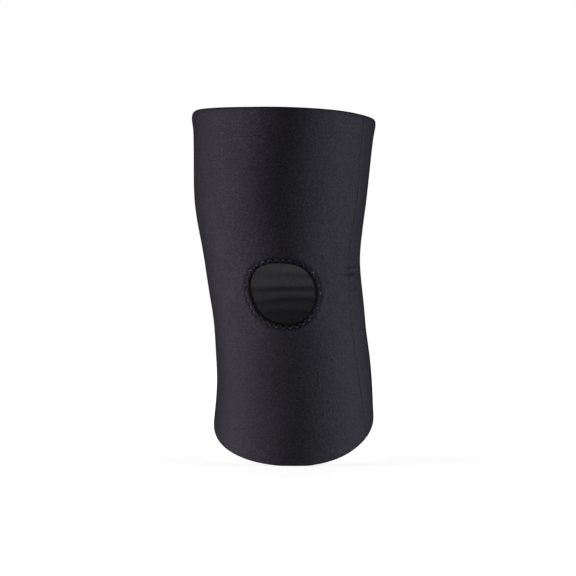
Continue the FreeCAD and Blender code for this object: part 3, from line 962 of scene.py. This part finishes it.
jersey_look = jersey_material(
    "black_nylon_jersey", base=(0.0150, 0.0138, 0.0195), dark=(0.0090, 0.0082, 0.0118),
    light=(0.060, 0.057, 0.072), wale=0.62, course=0.50, rough=0.50, sheen=0.02, gloss=0.52,
    fleck=0.40, tint=(0.82, 0.76, 1.0))
lining_look = jersey_material(
    "charcoal_lining", base=(0.085, 0.085, 0.092), dark=(0.058, 0.058, 0.064),
    light=(0.13, 0.13, 0.14), wale=0.70, course=0.56, rough=0.70, sheen=0.04, gloss=0.35,
    fleck=0.45, tint=(1.0, 1.0, 1.0))
foam_look = foam_material()
ring_look = thread_material("ring_nylon_thread", base=(0.0045, 0.0045, 0.0048),
                            light=(0.020, 0.020, 0.022), crest=0.75)
thread_look = thread_material("black_nylon_thread", base=(0.0165, 0.0155, 0.0195),
                              light=(0.052, 0.049, 0.060))
label_thread_look = thread_material("label_thread", base=(0.020, 0.020, 0.022),
                                    light=(0.080, 0.080, 0.085), twist_scale=1.3)
cement_look = cement_material()
tape_look = weave_material(
    "woven_tape", base=(0.024, 0.024, 0.027), dark=(0.010, 0.010, 0.012),
    light=(0.060, 0.060, 0.066), pitch_across=0.5, pitch_along=0.42, rough=0.6, selvedge=0.7)
label_look = weave_material(
    "satin_label", base=(0.42, 0.415, 0.40), dark=(0.30, 0.295, 0.285),
    light=(0.62, 0.61, 0.59), pitch_across=0.34, pitch_along=0.9, rough=0.42, selvedge=0.9)

# =============================================================================
# What stands for what: each piece gets its material, hides the CAD nodes it replaces and is
# renamed
# =============================================================================
ZONES, WHOLE_PIECE = ("_thigh", "_knee", "_calf"), ("",)
# piece, material, endings of the CAD names it replaces, slot, ending of its own name
PIECES = (
    (jersey, jersey_look, ZONES, "outer_jersey", "_cloth"),
    (foam, foam_look, ZONES, "foam_edge", "_cloth"),
    (lining, lining_look, ZONES, "inner_lining", "_cloth"),
    (cement, cement_look, ZONES, "seam_cement", "_visual"),
    (tape, tape_look, ZONES, "seam_tape", "_visual"),
    (seam_thread, thread_look, ZONES, "thread", "_visual"),
    (seam_under_thread, thread_look, ZONES, "thread", "_visual"),
    (ring_thread, ring_look, WHOLE_PIECE, "thread", "_visual"),
    (ring_under_thread, thread_look, WHOLE_PIECE, "thread", "_visual"),
    (label, label_look, WHOLE_PIECE, "care_label", "_visual"),
    (label_thread, label_thread_look, WHOLE_PIECE, "thread", "_visual"))


def stem(piece):
    """The piece's name without a number added for a clash with a CAD node."""
    return piece.name.split(".")[0]


for piece, look, endings, slot, _ in PIECES:
    piece.data.materials.append(look)
    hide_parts(*[stem(piece) + ending for ending in endings])
# a replaced CAD node keeps its own name, so the pieces are renamed
for piece, _, _, _, own_ending in PIECES:
    piece.name = stem(piece) + own_ending
    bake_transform(piece)


# =============================================================================
# Stage, in metres: white floor and surround, a tall strip of light on each side
# and a dark gap in front
# =============================================================================
def make_floor(half_size=7.0):
    z = CAD_BOX[0][2]
    corners = [(x * half_size, y * half_size, z) for x, y in ((-1, -1), (1, -1), (1, 1), (-1, 1))]
    mesh = bpy.data.meshes.new("floor")
    mesh.from_pydata(corners, [], [(0, 1, 2, 3)])
    floor = bpy.data.objects.new("floor", mesh)
    bpy.context.scene.collection.objects.link(floor)

    # the floor glows, more so away from the sleeve
    n = material_nodes("pale_floor")
    distance = n.add("ShaderNodeVectorMath", {0: n.position()}, operation="LENGTH")
    far = n.ramp(distance.outputs["Value"], span=(0.16, 0.60), soft=True)
    diffuse = n.add("ShaderNodeBsdfDiffuse", {"Color": (0.80, 0.80, 0.80)})
    strength = n.math("MULTIPLY_ADD", far, 0.22, 0.80)
    glow = n.add("ShaderNodeEmission", {"Color": (1, 1, 1), "Strength": strength})
    both = n.add("ShaderNodeAddShader", {0: diffuse.outputs[0], 1: glow.outputs[0]})
    n.put(n.out.inputs[0], both.outputs[0])
    mesh.materials.append(n.owner)
    floor.visible_diffuse = floor.visible_glossy = False
    floor.visible_shadow = floor.visible_transmission = False


def make_world():
    """White to the camera, a faint violet fill to everything else."""
    world = bpy.data.worlds.new("studio")
    bpy.context.scene.world = world
    n = Nodes(world, "ShaderNodeOutputWorld")
    seen = n.add("ShaderNodeLightPath").outputs["Is Camera Ray"]
    strength = n.ramp(seen, span=(0.0, 1.0), to=(0.026, 1.0))
    color = n.mix(seen, (0.93, 0.90, 1.0), (1, 1, 1))
    background = n.add("ShaderNodeBackground", {"Color": color, "Strength": strength})
    n.put(n.out.inputs[0], background.outputs[0])


def area_light(name, place, direction, width, height, radiance, color=(1, 1, 1), roll=0.0,
               glossy=True):
    light = bpy.data.lights.new(name, "AREA")
    light.shape = "RECTANGLE"
    light.size, light.size_y = width, height
    light.energy = radiance * math.pi * width * height
    light.color = color
    obj = bpy.data.objects.new(name, light)
    obj.location = place
    turn = Quaternion((0, 0, 1), math.radians(roll))
    obj.rotation_euler = (direction.to_track_quat("-Z", "Y") @ turn).to_euler()
    obj.visible_camera = False
    obj.visible_glossy = glossy
    bpy.context.scene.collection.objects.link(obj)


def softbox(name, azimuth, elevation, distance, **light):
    """Aimed at the origin; azimuth in degrees from the front (-Y) towards +X."""
    a, e = math.radians(azimuth), math.radians(elevation)
    place = Vector((math.sin(a) * math.cos(e), -math.cos(a) * math.cos(e), math.sin(e))) * distance
    area_light(name, place, -place, **light)


def make_camera():
    data = bpy.data.cameras.new("camera")
    data.sensor_width = 36.0
    data.lens = 117.19
    data.clip_end = 50
    camera = bpy.data.objects.new("camera", data)
    camera.location = (0.0019, -1.5, 0.0051)
    camera.rotation_euler = (PI / 2, 0, 0)
    bpy.context.scene.collection.objects.link(camera)
    bpy.context.scene.camera = camera


make_floor()
make_world()
# the side boxes roll so that their lower ends go towards the back
SIDE_ROLL = 13.0
softbox("left_box", azimuth=-82.5, elevation=-8, distance=1.6, width=0.70, height=3.0,
        radiance=4.46, color=(1.0, 0.97, 0.99), roll=-SIDE_ROLL)
softbox("right_box", azimuth=82, elevation=-8, distance=1.6, width=0.78, height=3.0,
        radiance=3.22, color=(0.95, 0.99, 1.0), roll=SIDE_ROLL)
softbox("top_box", azimuth=0, elevation=84, distance=1.7, width=0.9, height=0.7, radiance=0.30)
softbox("back_box", azimuth=180, elevation=32, distance=1.9, width=1.7, height=1.0,
        radiance=1.1, glossy=False)
# a small soft light in the hollow shows the lining through the kneecap opening
inside_place = Vector((0.0, -0.028, 0.044))
area_light("inside_light", inside_place, Vector((-0.002, 0.062, -0.018)) - inside_place,
           width=0.034, height=0.026, radiance=12.0, glossy=False)
make_camera()
bpy.context.scene.view_settings.view_transform = "Standard"
bpy.context.scene.view_settings.look = "None"
